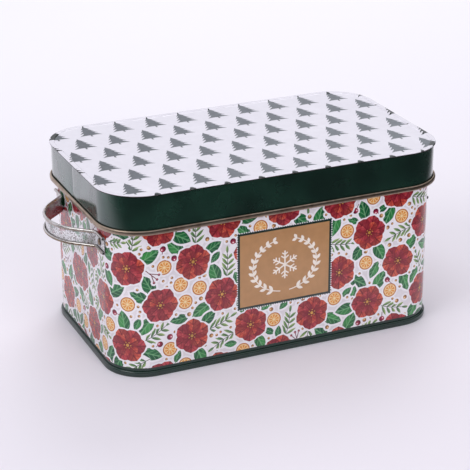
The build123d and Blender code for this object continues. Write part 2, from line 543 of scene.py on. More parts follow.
def flower():
    """A round double flower: outer and inner petals and a gold eye with a ring of dots."""
    motif = Motif([(0, 0, 10.0)])
    turns = [tau * n / 24 for n in range(24)]
    motif.halos.append([(11.5 + 0.9 * cos(6 * turn)) * direction(turn) for turn in turns])
    for number, length, width, lean, count in ((6, 11.2, 10.2, 0, 8), (5, 7.4, 6.4, 20, 6)):
        for n in range(number):
            motif.blade("petal", length, width, (0, 0), 360 / number * n + lean, 1.35, 0.55, count)
    motif.disc("stamen", 1.0, 8)
    for n in range(6):
        motif.disc("stamen", 0.42, 5, heading(60 * n) * 2.0)
    return motif


def citrus():
    """A round slice of dried orange."""
    motif = Motif([(0, 0, 5.1)])
    motif.disc("citrus", 4.6, 24, halo=True)
    return motif


def leaf(start, length, width):
    """A plain leaf that begins a distance from the origin, so that it can come out from under a flower."""
    motif = Motif([(start + length * 0.45, 0, width * 0.44), (start + length * 0.78, 0, width * 0.32)])
    motif.blade("leaf", length, width, (start, 0), fullness=0.9, roundness=0.85, count=8, halo=True)
    return motif


def sprig(start, pairs, size):
    """A stem with narrow leaves in pairs, which grow smaller to its tip."""
    pitch, bend = size * 0.5, size * 0.018
    motif = Motif([(start + pitch * (n + 1.1), bend * n * n, size * 0.5) for n in range(1, pairs + 1)])
    stem = [Vector((start + pitch * n, bend * n * n)) for n in range(pairs + 2)]
    for here, after in zip(stem, stem[1:]):
        motif.bar("stem", here, after, 0.4)
    for n, here in enumerate(stem[1:-1]):
        length = size * (1.06 - 0.36 * n / pairs)
        for side in (-1, 1):
            motif.blade("sprig", length, 1.8, here, side * 42 + 4 * n, roundness=0.8)
    motif.blade("sprig", size * 0.75, 1.7, stem[-1], 4 * pairs, roundness=0.8)
    reach = start + pitch * (pairs + 1) + size * 0.75 + HALO
    motif.halos.append([Vector((start + x, y)) for x, y in blade(reach - start, size * 2.0, 0.85, 0.6, 9)])
    return motif


def berries(count):
    """Round berries side by side, with a short stalk to each."""
    middle = (count - 1) / 2
    motif = Motif([(2.1, 2.3 * (n - middle) * 2, 2.4) for n in range(count)])
    places = [Vector((2.1, 4.4 * (n - middle))) for n in range(count)]
    for place in places:
        motif.bar("stem_red", (-2.6, 0), place, 0.45)
    for place in places:
        motif.disc("berry", 1.9, 12, place, halo=True)
    return motif


def twig():
    """A forked red twig with a bud at each tip."""
    motif = Motif([(0, 0, 1.2), (3.2, 0, 1.4), (6.4, 0, 2.2), (9.0, 0, 2.4)])
    forks = (((0, 0), (9.2, 0)), ((3.0, 0), (8.2, 2.9)), ((4.6, 0), (9.0, -2.6)))
    for start, end in forks:
        motif.bar("stem_red", start, end, 0.5)
        motif.halos.append(bar(start, end, 0.5 + 2 * HALO))
    for _, end in forks:
        motif.disc("berry", 0.85, 8, end, halo=True)
    return motif


def dot(radius):
    motif = Motif([(0, 0, radius + 0.4)])
    motif.disc("gold_dot", radius, 8, halo=True)
    return motif


class Scatter:
    """Throws motifs on a sheet at random, each clear of those before it."""

    def __init__(self, size, seed):
        self.size = size
        self.rng = random.Random(seed)
        self.taken = np.zeros((0, 3))
        self.placed, self.centres = [], []

    def settle(self, motif, point, angle, layer, spared=0):
        """Place a motif if its discs are free of all others but those of one spared motif."""
        halos, shapes, discs = motif.placed(point, angle)
        found = np.array(discs)
        taken = self.taken
        away = np.hypot(found[:, None, 0] - taken[None, :, 0], found[:, None, 1] - taken[None, :, 1])
        clash = away < found[:, None, 2] + taken[None, :, 2]
        if spared:
            clash[:, spared - 1] = False
        if clash.any():
            return False
        self.taken = np.vstack([taken, found])
        tone = self.rng.random()
        self.placed.append((layer, halos, [(*shape, (self.rng.random(), tone)) for shape in shapes]))
        return True

    def throw(self, motif, tries, layer=BETWEEN):
        for _ in range(tries):
            point = Vector((self.rng.uniform(0, self.size[0]), self.rng.uniform(0, self.size[1])))
            self.settle(motif, point, self.rng.uniform(0, tau), layer)

    def flowers(self):
        """Flowers in staggered rows with a little wander."""
        for row in range(ceil(self.size[1] / FLOWER_ROW_PITCH) + 1):
            for column in range(ceil(self.size[0] / FLOWER_PITCH) + 1):
                point = Vector(((column + 0.5 * (row % 2)) * FLOWER_PITCH, (row - 0.1) * FLOWER_ROW_PITCH))
                point += Vector([self.rng.uniform(-FLOWER_WANDER, FLOWER_WANDER) for _ in range(2)])
                if self.settle(flower(), point, self.rng.uniform(0, tau), OVER):
                    self.centres.append((point, len(self.taken)))

    def grow(self, motif, wanted):
        """Let a motif come out from under every flower, up to a wanted number of times."""
        for point, number in self.centres:
            grown_out = 0
            for _ in range(GROW_TRIES):
                if grown_out < wanted:
                    grown_out += self.settle(motif, point, self.rng.uniform(0, tau), UNDER, number)

    def draw(self, artwork, covers):
        """Paint the motifs layer by layer, each on its halo, but for what a covering box hides."""

        def seen(outline):
            return not any(all(inside(corner, box) for corner in outline) for box in covers)

        for _, halos, shapes in sorted(self.placed, key=lambda entry: entry[0]):
            for outline in halos:
                if seen(outline):
                    artwork.add(outline, "print_halo")
            for shape in shapes:
                if seen(shape[0]):
                    artwork.add(*shape)


def inside(point, box):
    left, bottom, right, top = box
    return left < point.x < right and bottom < point.y < top


def label(artwork, box):
    """A kraft label with a dark line, a beaded edge, and a plain wreath round a snow crystal in white."""
    left, bottom, right, top = box
    across, up = round(LABEL_WIDTH / LABEL_BEAD_PITCH), round(LABEL_HEIGHT / LABEL_BEAD_PITCH)
    beads = [(left + LABEL_WIDTH * n / across, level) for n in range(across + 1) for level in (bottom, top)]
    beads += [(edge, bottom + LABEL_HEIGHT * n / up) for n in range(1, up) for edge in (left, right)]
    artwork.add(rectangle(*box), "border_green")
    for centre in beads:
        artwork.add(disc(LABEL_BEAD, 8, centre), "print_halo")
    inner = rectangle(left + LABEL_LINE, bottom + LABEL_LINE, right - LABEL_LINE, top - LABEL_LINE)
    artwork.add(inner, "kraft")
    middle = Vector(((left + right) / 2, (bottom + top) / 2))
    for motif in (wreath(), snow_crystal()):
        for shape in motif.placed(middle, 0.0)[1]:
            artwork.add(*shape)


def wreath():
    """Two branches of small leaves that meet at the bottom of an oval and stay open at the top."""
    motif = Motif()
    across, up = 21.0, 17.0
    leaves = 11

    def place(share, side):
        around = heading(-90 + side * (8 + 150 * share))
        return Vector((across * around.x, up * around.y))

    for side in (-1, 1):
        points = [place(n / (2 * leaves), side) for n in range(2 * leaves + 1)]
        for here, after in zip(points, points[1:]):
            motif.bar("label_white", here, after, 0.6)
        for n in range(1, leaves + 1):
            ahead = place((n + 0.4) / leaves, side) - place((n - 0.4) / leaves, side)
            way = degrees(atan2(ahead.y, ahead.x))
            for tilt in (-38, 38):
                motif.blade("label_white", 4.8 - 0.12 * n, 2.0, place(n / leaves, side), way + tilt)
    return motif


def snow_crystal():
    """Six arms with two pairs of twigs each."""
    motif = Motif()
    arm = 9.0
    for n in range(6):
        way = 60 * n + 30
        motif.bar("label_white", (0, 0), heading(way) * arm, 0.95)
        for share, twig_length in ((0.45, 3.0), (0.72, 2.2)):
            fork = heading(way) * arm * share
            for lean in (-55, 55):
                motif.bar("label_white", fork, fork + heading(way + lean) * twig_length, 0.8)
    return motif


def fir_tree():
    """The convex parts of a fir tree that stands on the origin: a trunk and four drooping tiers."""
    # Level and reach of the boughs' tips, half widths between them and at the top, level of the top
    tiers = (
        (0.00, 1.00, 0.62, 0.44, 0.30),
        (0.23, 0.82, 0.52, 0.33, 0.52),
        (0.45, 0.62, 0.40, 0.21, 0.74),
        (0.66, 0.42, 0.27, 0.01, 1.00),
    )
    droop = 0.04
    arm_joint = 0.7
    parts = [rectangle(-0.08, -0.1, 0.08, 0.1)]
    for base, reach, inner, neck, top in tiers:
        under = base + droop
        joint = (inner + (neck - inner) * arm_joint, under + (top - under) * arm_joint)
        core = ((-inner, under), (inner, under), (neck, top), (-neck, top))
        parts.append([Vector(corner) for corner in core])
        for way in (-1, 1):
            parts.append([Vector((way * x, y)) for x, y in ((reach, base), joint, (inner, under))])
    size = Vector((TREE_WIDTH / 2, TREE_HEIGHT))
    return [[point * size for point in part] for part in parts]


# Paints

WHITE = (1.0, 1.0, 1.0, 1.0)
BLACK = (0.0, 0.0, 0.0, 1.0)
LACQUER_IOR = 1.64
BUMP_DEPTH = 0.5 * MM


def srgb(red, green, blue):
    """A colour as it shows, 0 to 255, in linear terms."""
    shares = [value / 255 for value in (red, green, blue)]
    linear = [value / 12.92 if value <= 0.04045 else ((value + 0.055) / 1.055) ** 2.4 for value in shares]
    return (*linear, 1.0)


class Nodes:
    """Builds up a shader from small nodes."""

    def __init__(self, owner):
        owner.use_nodes = True
        self.tree = owner.node_tree

    def set(self, made, name, value):
        """Link or set one input of a node."""
        if isinstance(value, bpy.types.NodeSocket):
            self.tree.links.new(value, made.inputs[name])
        else:
            made.inputs[name].default_value = value

    def node(self, kind, inputs=(), **settings):
        made = self.tree.nodes.new("ShaderNode" + kind)
        for name, value in settings.items():
            setattr(made, name, value)
        for name, value in dict(inputs).items():
            self.set(made, name, value)
        return made

    def math(self, operation, *values):
        return self.node("Math", dict(enumerate(values)), operation=operation).outputs[0]

    def plus(self, value, more, share=1.0):
        """A value and a share of another."""
        return self.math("MULTIPLY_ADD", more, share, value)

    def joined(self, *values):
        """A place from two or three numbers."""
        return self.node("CombineXYZ", dict(zip("XYZ", values))).outputs[0]

    def ramp(self, value, stops):
        made = self.node("ValToRGB", {"Fac": value})
        made.color_ramp.interpolation = "EASE"
        while len(made.color_ramp.elements) < len(stops):
            made.color_ramp.elements.new(1.0)
        for element, (position, colour) in zip(made.color_ramp.elements, stops):
            element.position = position
            element.color = colour
        return made.outputs["Color"]

    def grey(self, value, *stops):
        """A number that follows another through stops."""
        return self.ramp(value, [(at, (level, level, level, 1.0)) for at, level in stops])

    def mix(self, share, first, second):
        made = self.node("Mix", {"Factor": share}, data_type="RGBA")
        self.set(made, 6, first)
        self.set(made, 7, second)
        return made.outputs[2]

    def seen(self):
        """One for what the camera sees, also by way of gloss or glass, and zero for other light."""
        path = self.node("LightPath").outputs
        seen = path["Is Camera Ray"]
        for kind in ("Is Glossy Ray", "Is Transmission Ray"):
            seen = self.math("MAXIMUM", seen, path[kind])
        return seen


class Paint(Nodes):
    """One procedural material."""

    def __init__(self, name):
        self.material = bpy.data.materials.new(name)
        super().__init__(self.material)
        self.shader = self.tree.nodes["Principled BSDF"]
        self.place = self.node("TexCoord").outputs["Object"]

    def noise(self, size, detail=2.0, roughness=0.5, place=None):
        """Noise whose features are about the given size."""
        inputs = {"Vector": place or self.place, "Scale": 1 / size, "Detail": detail, "Roughness": roughness}
        return self.node("TexNoise", inputs).outputs["Fac"]

    def wander(self, size, amount, place=None):
        """Noise about zero."""
        centred = self.math("SUBTRACT", self.noise(size, 4.0, 0.65, place), 0.5)
        return self.math("MULTIPLY", centred, amount)

    def away(self, place, centre=(0.0, 0.0, 0.0)):
        """The distance of a place from a centre."""
        return self.node("VectorMath", {0: place, 1: centre}, operation="DISTANCE").outputs["Value"]

    def print_place(self, layer="Print"):
        """The two print coordinates of a layer: along and across the motif, or its random tones."""
        found = self.node("UVMap", uv_map=layer).outputs["UV"]
        parts = self.node("SeparateXYZ", {"Vector": found})
        return parts.outputs["X"], parts.outputs["Y"]

    def finish(self, colour, roughness, height=None, **constants):
        """Connect the shader. Constants are its other inputs, with _ for a space."""
        self.set(self.shader, "Base Color", colour)
        self.set(self.shader, "Roughness", roughness)
        for name, value in constants.items():
            self.shader.inputs[name.replace("_", " ")].default_value = value
        if height:
            bump = self.node("Bump", {"Height": height, "Distance": BUMP_DEPTH, "Strength": 1.0})
            self.set(self.shader, "Normal", bump.outputs["Normal"])
        return self.material

    def brushed(self, along, across, own, amount):
        """Noise about zero in long strokes from a motif's foot to its tip."""
        scales = ((along, 1.8), (across, 4.5), (own, 30.0))
        place = self.joined(*(self.math("MULTIPLY", value, scale) for value, scale in scales))
        return self.wander(1.0, amount, place)

    def rolled(self, streak=0.1):
        """The height of a rolled sheet: slow waves, upright streaks and a fine peel."""
        inputs = {0: self.place, 1: (1.0, 1.0, 0.12)}
        upright = self.node("VectorMath", inputs, operation="MULTIPLY").outputs["Vector"]
        height = self.plus(self.noise(45 * MM, 1.5), self.noise(3.5 * MM, place=upright), streak)
        return self.plus(height, self.noise(1.2 * MM, 1.0), 0.012)

    def lacquered(self, colour):
        """Gloss lacquer over printed tinplate, with a few dull patches."""
        dull = self.grey(self.noise(22 * MM, 4.0), (0.35, 0.1), (0.75, 0.22))
        self.finish(colour, dull, self.rolled(0.03), IOR=LACQUER_IOR)


def shaded(colour, factor):
    return (*(value * factor for value in colour[:3]), 1.0)


def colours(*stops):
    """Stops of a ramp, each a position and a colour as it shows."""
    return [(position, srgb(*shares)) for position, *shares in stops]


def flat_print(name, colour, spread):
    """A printed colour with the slight unevenness of ink."""
    paint = Paint(name)
    stops = [(0.3, shaded(colour, 1 - 2 * spread)), (0.7, shaded(colour, 1 + spread))]
    paint.lacquered(paint.ramp(paint.noise(5 * MM, 3.0), stops))


def washed(name, first, second, dark, vein, edge, side_veins=0.0):
    """A leaf or petal in watercolour, in its own mix of two washes, one half darker than the other."""
    paint = Paint(name)
    along, across = paint.print_place()
    own, _ = paint.print_place("Seed")
    wander = paint.brushed(along, across, own, 1.25)
    reach = paint.plus(along, wander)
    washes = [paint.ramp(reach, stops) for stops in (first, second)]
    colour = paint.mix(paint.grey(own, (0.25, 0.0), (0.75, 1.0)), *washes)
    half = paint.math("MULTIPLY_ADD", paint.plus(across, wander, 0.5), 0.5, 0.5)
    colour = paint.mix(paint.grey(half, (0.4, 0.6), (0.56, 0.0)), colour, dark)
    side = paint.math("ABSOLUTE", across)
    if side_veins:
        waves = paint.math("SINE", paint.math("MULTIPLY", paint.plus(along, side, -0.35), side_veins))
        colour = paint.mix(paint.grey(waves, (0.6, 0.0), (1.0, 0.55)), colour, vein)
    colour = paint.mix(paint.grey(side, (0.03, 0.8), (0.12, 0.0)), colour, vein)
    rim = paint.grey(paint.plus(side, wander, 0.4), (0.72, 0.0), (0.95, 0.6))
    paint.lacquered(paint.mix(rim, colour, edge))


def rounded_print(name, light, body, shade, sparkle):
    """A painted ball: light from the upper left, shade towards the edge, a small white highlight."""
    paint = Paint(name)
    off = paint.away(paint.joined(*paint.print_place()), (-0.3, 0.35, 0.0))
    reach = paint.plus(off, paint.wander(1.3 * MM, 0.7))
    colour = paint.ramp(reach, [(0.1, light), (0.55, body), (0.95, shade)])
    paint.lacquered(paint.mix(paint.grey(off, (0.12, sparkle), (0.26, 0.0)), colour, WHITE))


def citrus_print(name):
    """A dried orange slice: rind, pale pith and wedges of pulp, by distance and turn about its middle."""
    paint = Paint(name)
    across, up = paint.print_place()
    own, _ = paint.print_place("Seed")
    out = paint.away(paint.joined(across, up))
    turn = paint.math("ARCTAN2", up, across)
    wander = paint.wander(1.2 * MM, 0.5)
    spun = paint.math("MULTIPLY", paint.plus(turn, own), CITRUS_WEDGES)
    wave = paint.math("COSINE", paint.plus(spun, wander))
    wedge = paint.grey(paint.math("MULTIPLY", paint.math("ADD", wave, 1.0), out), (0.1, 0.0), (0.28, 1.0))
    reach = paint.plus(out, wander, 0.15)
    pulp_zone = paint.grey(reach, (0.1, 0.0), (0.2, 1.0), (0.68, 1.0), (0.76, 0.0))
    flesh = colours((0.3, 196, 104, 40), (0.5, 222, 142, 58), (0.7, 238, 184, 104))
    rind = colours((0.78, 240, 214, 164), (0.86, 206, 126, 50), (1.0, 160, 84, 38))
    pulp = paint.ramp(paint.noise(0.9 * MM, 5.0, 0.7), flesh)
    paint.lacquered(paint.mix(paint.math("MULTIPLY", wedge, pulp_zone), paint.ramp(reach, rind), pulp))


def tinplate(name, colour, roughness, tarnish, tarnish_share):
    """Bare tinplate: soft spangle, rolling marks and a little tarnish. In the groove paint its dark colour
    and tarnish are painted shade.
    """
    paint = Paint(name)
    spangle = paint.noise(4 * MM, 3.0, 0.6)
    stain = paint.grey(paint.noise(7 * MM, 5.0, 0.7), (0.42, 0.0), (0.68, tarnish_share))
    tone = paint.mix(paint.grey(spangle, (0.35, 0.0), (0.65, 0.35)), colour, shaded(colour, 0.75))
    dull = paint.grey(spangle, (0.3, roughness), (0.7, roughness + 0.1))
    height = paint.plus(paint.noise(40 * MM, 1.0), spangle, 0.05)
    paint.finish(paint.mix(stain, tone, tarnish), dull, height, Metallic=1.0)


def silver_ink(name, colour):
    """Thin ink on bare tinplate, through which the metal shines."""
    paint = Paint(name)
    tone = paint.ramp(paint.noise(3 * MM, 3.0), [(0.3, shaded(colour, 0.85)), (0.7, shaded(colour, 1.1))])
    paint.finish(tone, 0.28, paint.rolled(), Metallic=0.85)


def pale_print_and_reflections(name):
    """The handles' outer face: a pale print with fine speckles, soft green and pink patches that are painted
    reflections of the lid and the print, and darker patches that are partly stains and partly painted dark
    reflections.
    """
    paint = Paint(name)
    colour = paint.ramp(paint.noise(5 * MM, 3.0), colours((0.3, 214, 215, 220), (0.7, 232, 230, 235)))
    # Soft green and pink patches: painted reflections.
    for size, reflected_tint in ((7.3 * MM, srgb(128, 172, 148)), (8.9 * MM, srgb(206, 150, 158))):
        colour = paint.mix(paint.grey(paint.noise(size, 3.0, 0.6), (0.54, 0.0), (0.66, 0.7)), colour, reflected_tint)
    # Darker patches: partly stains, partly painted dark reflections.
    stain = paint.grey(paint.noise(8 * MM, 4.0, 0.6), (0.54, 0.0), (0.68, 0.6))
    colour = paint.mix(stain, colour, srgb(112, 104, 100))
    speckle = paint.grey(paint.noise(0.8 * MM, 2.0), (0.52, 0.0), (0.62, 0.8))
    paint.lacquered(paint.mix(speckle, colour, srgb(96, 86, 80)))


def green_lacquer(name):
    """Translucent green lacquer on tinplate, which mirrors its surroundings at a slant."""
    paint = Paint(name)
    stops = colours((0.3, 24, 56, 46), (0.75, 40, 84, 68))
    dull = paint.grey(paint.noise(18 * MM, 4.0), (0.35, 0.2), (0.75, 0.34))
    paint.finish(paint.ramp(paint.noise(30 * MM, 3.0), stops), dull, paint.rolled(),
                 Metallic=0.7, Coat_Weight=1.0, Coat_Roughness=0.07, Coat_IOR=1.75)


def make_paints():
    flat_print("print_ground", srgb(224, 218, 224), 0.02)
    flat_print("print_halo", srgb(238, 234, 240), 0.01)
    flat_print("lid_white", srgb(221, 218, 229), 0.01)
    silver_ink("tree", srgb(80, 87, 92))
    # The tree ink is also painted darker for the trees on the lid's rim, step and nose: painted shade and
    # reflection.
    silver_ink("tree_rim", srgb(16, 27, 25))
    flat_print("border_green", srgb(18, 46, 38), 0.12)
    flat_print("kraft", srgb(181, 135, 91), 0.03)
    flat_print("label_white", srgb(242, 232, 222), 0.02)
    pale_print_and_reflections("strap_face")
    flat_print("stamen", srgb(214, 156, 70), 0.15)
    flat_print("stem", srgb(70, 84, 56), 0.15)
    flat_print("stem_red", srgb(116, 40, 54), 0.15)
    crimson = colours((0.1, 104, 20, 36), (0.5, 158, 42, 56), (0.95, 190, 68, 74))
    scarlet = colours((0.1, 122, 30, 34), (0.5, 182, 58, 50), (0.95, 206, 92, 68))
    washed("petal", crimson, scarlet, srgb(112, 20, 38), srgb(92, 16, 30), srgb(116, 22, 34), 22.0)
    deep = colours((0.0, 10, 64, 44), (0.5, 26, 106, 58), (1.0, 18, 78, 52))
    bright = colours((0.0, 20, 84, 50), (0.5, 60, 142, 72), (1.0, 28, 98, 60))
    washed("leaf", deep, bright, srgb(12, 70, 48), srgb(116, 176, 124), srgb(20, 76, 54), 26.0)
    grey_green = colours((0.0, 60, 98, 60), (0.6, 112, 150, 92), (1.0, 168, 192, 126))
    pale_green = colours((0.0, 88, 120, 70), (0.6, 150, 178, 108), (1.0, 200, 212, 148))
    washed("sprig", grey_green, pale_green, srgb(60, 96, 62), srgb(58, 88, 54), srgb(120, 150, 96))
    citrus_print("citrus")
    rounded_print("berry", srgb(206, 92, 116), srgb(150, 30, 62), srgb(104, 16, 44), 0.9)
    rounded_print("gold_dot", srgb(226, 178, 110), srgb(190, 136, 78), srgb(128, 84, 52), 0.5)
    tinplate("tin", srgb(205, 202, 200), 0.22, srgb(150, 132, 112), 0.35)
    tinplate("tin_edge", srgb(178, 160, 142), 0.3, srgb(120, 96, 78), 0.5)
    # groove: dark tin, a painted shade for the narrow gaps and creases beside the curls, the lid's bead and
    # rim and the rivet heads
    tinplate("groove", srgb(72, 62, 54), 0.45, srgb(30, 24, 20), 0.9)
    tinplate("rivet_tin", srgb(164, 146, 126), 0.3, srgb(76, 58, 44), 0.9)
    green_lacquer("lid_green")


# Pieces

BODY_RING = ring(BODY_HALF_LENGTH, BODY_HALF_WIDTH, BODY_RADIUS)
SKIRT_RING = ring(SKIRT_HALF_LENGTH, SKIRT_HALF_WIDTH, SKIRT_RADIUS)


def body_section():
    """The wall as a bent line: hook at the foot, straight wall, curl round the mouth."""
    middle = PLATE / 2
    hook = FOLD_GAP + middle
    foot = FOLD + middle
    curl_radius = (CURL_DIAMETER - PLATE) / 2
    curl_centre = Vector((curl_radius - middle, wall_high.z - CURL_DIAMETER / 2))
    corners = [(hook, foot + HOOK_HEIGHT), (hook, foot), (-middle, foot), (-middle, curl_centre.y)]
    line = Route(corners, [FOLD / 2, FOLD / 2]).points()
    line[-1:] = braces(line[-2], line[-1])
    return line + roll(curl_centre, curl_radius, 180.0, -CURL_TURN)


def lap_depth(route, distance):
    """How deep the fine groove of the lap joint is at a distance along the route."""
    away = abs(distance - (route.length - LAP_OFFSET))
    return LAP_DEPTH * min(1.0, max(0.0, (LAP_GROOVE / 2 - away) / LAP_SLOPE))


def lap_stations(route):
    middle = route.length - LAP_OFFSET
    edge, floor = LAP_GROOVE / 2, LAP_GROOVE / 2 - LAP_SLOPE
    return sorted(route.stations() + [middle - edge, middle - floor, middle + floor, middle + edge])


def lay_on(shell, artwork, sheet, window, lines, place, repaint=None):
    """Cut the artwork and put every point where place(point) says, with its outward direction."""
    points, faces = artwork.cut(sheet, window, lines)
    spots = [place(point) for point in points]
    start = shell.add([spot for spot, _ in spots])
    for corners, shape in faces:
        prints = [tuple(artwork.coordinates(shape, points[n])) for n in corners]
        paint = shape[1]
        if repaint:
            paint = repaint(paint, sum((points[n] for n in corners), Vector((0, 0))) / len(corners))
        shell.face([start + n for n in corners], paint, prints, shape[5], [spots[n][1] for n in corners])


def body_print(size):
    """The print of the body, laid flat: distance round the wall from the left end's middle, and height."""
    artwork = Artwork("print_ground")
    scatter = Scatter(size, seed=11)
    scatter.flowers()
    scatter.throw(citrus(), 500)
    scatter.grow(sprig(GROW_START, 4, 7.0), 1)
    scatter.grow(leaf(GROW_START, 14.5, 8.0), 2)
    scatter.throw(citrus(), 900)
    scatter.throw(sprig(0, 4, 6.2), 3000, UNDER)
    scatter.grow(leaf(GROW_START, 12.5, 7.0), 1)
    scatter.throw(sprig(0, 3, 5.2), 2500, UNDER)
    scatter.throw(leaf(0, 12, 6.4), 2500, UNDER)
    scatter.throw(twig(), 2500)
    scatter.throw(berries(2), 2500)
    scatter.throw(leaf(0, 8.5, 4.4), 2500, UNDER)
    scatter.throw(berries(1), 2500)
    scatter.throw(dot(1.4), 5000)
    scatter.throw(dot(0.9), 9000)
    corner = BODY_RADIUS * pi / 2
    front = BODY_HALF_WIDTH - BODY_RADIUS + corner + BODY_HALF_LENGTH - BODY_RADIUS
    label_box = (front - LABEL_WIDTH / 2, LABEL_BOTTOM, front + LABEL_WIDTH / 2, LABEL_BOTTOM + LABEL_HEIGHT)
    border_box = (0, 0, size[0], BORDER_TOP)
    scatter.draw(artwork, (label_box, border_box))
    label(artwork, label_box)
    artwork.add(rectangle(*border_box), "border_green")
    return artwork


def make_body():
    stations = lap_stations(BODY_RING)
    line = body_section()
    section = sheet_section(line, PLATE)
    bend_end = max(n for n, point in enumerate(line) if point.y < wall_high.z / 2)
    low, high = section[bend_end].y, section[bend_end + 1].y
    shell = Shell()
    bare = range(len(line) - 1, 2 * len(line))
    shell.sweep(section, BODY_RING, lambda n: "tin" if n in bare else "print_ground",
                skip={bend_end}, lapped={bend_end, bend_end + 1})
    sheet = [Vector((distance, low)) for distance in stations]
    sheet += [Vector((distance, high)) for distance in reversed(stations)]
    length = BODY_RING.length
    window = rectangle(PRINT_MARGIN, low + PRINT_MARGIN, length - PRINT_MARGIN, high - PRINT_MARGIN)
    lines = [[Vector((distance, low)), Vector((distance, high))] for distance in stations[1:-1]]

    def place(point):
        spot, side = BODY_RING.place(min(max(point.x, 0.0), length))
        spot = spot - side * lap_depth(BODY_RING, point.x)
        return (spot.x, spot.y, point.y), (side.x, side.y, 0.0)

    lay_on(shell, body_print((length, high)), sheet, window, lines, place)
    piece = shell.piece("printed_wall", BODY_PAINTS)
    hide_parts("body_wall")
    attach(piece, "box")


def make_skirt():
    middle = -PLATE / 2
    flange_level = RIM_TOP - PLATE * 1.5 - FOLD_GAP
    bead_radius = (BEAD_WIDTH - PLATE) / 2
    bead_out = bead_radius - PLATE / 2
    bead_low = skirt_low.z + BEAD_WIDTH / 2
    bead_high = skirt_low.z + BEAD_HEIGHT - BEAD_WIDTH / 2
    corners = [(FLANGE_REACH - PLATE / 2, flange_level), (middle, flange_level), (middle, bead_low)]
    line = Route(corners, [FLANGE_BEND_RADIUS]).points()
    line[-1:] = braces(line[-2], line[-1])
    foot = len(line) - 1
    line += roll((bead_out, bead_low), bead_radius, 180.0, 180.0)
    line += roll((bead_out, bead_high), bead_radius, 0.0, BEAD_TURN)
    section = sheet_section(line, PLATE)
    lacquer_start = len(section) // 2

    def paint(n):
        if n >= lacquer_start:
            return "lid_green"
        # The edges where the bead turns back in towards the skirt are painted dark tin: a painted shade in
        # the gap above the bead.
        return "groove" if n > len(line) - 4 else "tin_edge"

    shell = Shell()
    shell.sweep(section, SKIRT_RING, paint, lapped={len(section) - 1 - foot, len(section) - foot})
    piece = shell.piece("lid_side", ["lid_green", "tin_edge", "groove"])
    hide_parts("lid_skirt")
    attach(piece, "lid")


def lid_print():
    """Fir trees in staggered rows over the whole lid, from above."""
    artwork = Artwork("lid_white")
    tree = fir_tree()
    for row in TREE_ROWS:
        for column in TREE_COLUMNS:
            place = TREE_START + Vector(((column + 0.5 * (row % 2)) * TREE_PITCH, -row * TREE_ROW_PITCH))
            for part in tree:
                artwork.add([place + point for point in part], "tree")
    return artwork


def make_lid_top():
    rim = RIM_TOP - PLATE / 2
    hem = rim - 2 * FOLD
    nose = RIM_OVERHANG - PLATE / 2
    nose_radius = RIM_NOSE_RADIUS + PLATE / 2
    flat_end = RIM_OVERHANG - nose_radius
    print_end = flat_end + nose_radius * pi / 2
    rim_start = RIM_OVERHANG - RIM_WIDTH
    wraps = [flat_end + (print_end - flat_end) * n / NOSE_STEPS for n in range(NOSE_STEPS)]
    step_outs = [rim_start - RIM_STEP * n / RIM_STEPS for n in range(RIM_STEPS + 1)]
    folded = Route([(PLATE / 2, hem), (nose, hem), (nose, rim), (rim_start, rim)], [RIM_NOSE_RADIUS] * 2)
    section = sheet_section(folded.points(), PLATE)
    print_low = RIM_TOP - nose_radius - WELD
    bare_start = len(section) // 2 - 1
    section[bare_start] = Vector((step_outs[-1], PANEL_TOP - PLATE))
    printed = {n for n in range(bare_start) if section[n].y > print_low}
    section[min(printed)] = Vector((RIM_OVERHANG, RIM_TOP - nose_radius))
    shell = Shell()
    # Below the print, the outside of the fold, the lower part of the nose and the underside of the hem, is
    # painted dark tin: a painted shade line under the rim.
    shell.sweep(section, SKIRT_RING, lambda n: "groove" if n < bare_start else "tin", skip=printed)
    shell.plate(SKIRT_RING.outline(step_outs[-1]), PANEL_TOP - PLATE, "tin")

    def beyond(point):
        """How far a point is outside the skirt's wall, and the way out."""
        corner = Vector((SKIRT_HALF_LENGTH - SKIRT_RADIUS, SKIRT_HALF_WIDTH - SKIRT_RADIUS))
        past = Vector((max(abs(point.x) - corner.x, 0.0), max(abs(point.y) - corner.y, 0.0)))
        side = [copysign(share, place) for share, place in zip(past.normalized(), point)]
        return past.length - SKIRT_RADIUS, Vector(side)

    def place(point):
        out, side = beyond(point)
        turn = max(0.0, out - flat_end) / nose_radius
        if turn > 0:
            spot = point + side * (flat_end + nose_radius * sin(turn) - out)
            normal = (side.x * sin(turn), side.y * sin(turn), cos(turn))
            return (spot.x, spot.y, RIM_TOP - nose_radius * (1 - cos(turn))), normal
        share = min(1.0, max(0.0, (step_outs[0] - out) / RIM_STEP))
        drop = PANEL_SINK * share * share * (3 - 2 * share)
        slope = PANEL_SINK * 6 * share * (1 - share) / RIM_STEP
        normal = Vector((-slope * side.x, -slope * side.y, 1.0)).normalized()
        return (point.x, point.y, RIM_TOP - drop), tuple(normal)

    # Trees from the rim's step outward get the darker ink: painted shade and reflection on the rim.
    def shade_rim_trees(paint, middle):
        return "tree_rim" if paint == "tree" and beyond(middle)[0] > step_outs[-1] else paint

    rings = [SKIRT_RING.outline(out) for out in step_outs + wraps]
    lines = [outline + outline[:1] for outline in rings]
    window = SKIRT_RING.outline(print_end - PRINT_MARGIN)
    lay_on(shell, lid_print(), SKIRT_RING.outline(print_end), window, lines, place, shade_rim_trees)
    piece = shell.piece("lid_top", ["lid_white", "tree", "tree_rim", "tin", "groove"])
    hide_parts("lid_panel")
    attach(piece, "lid")


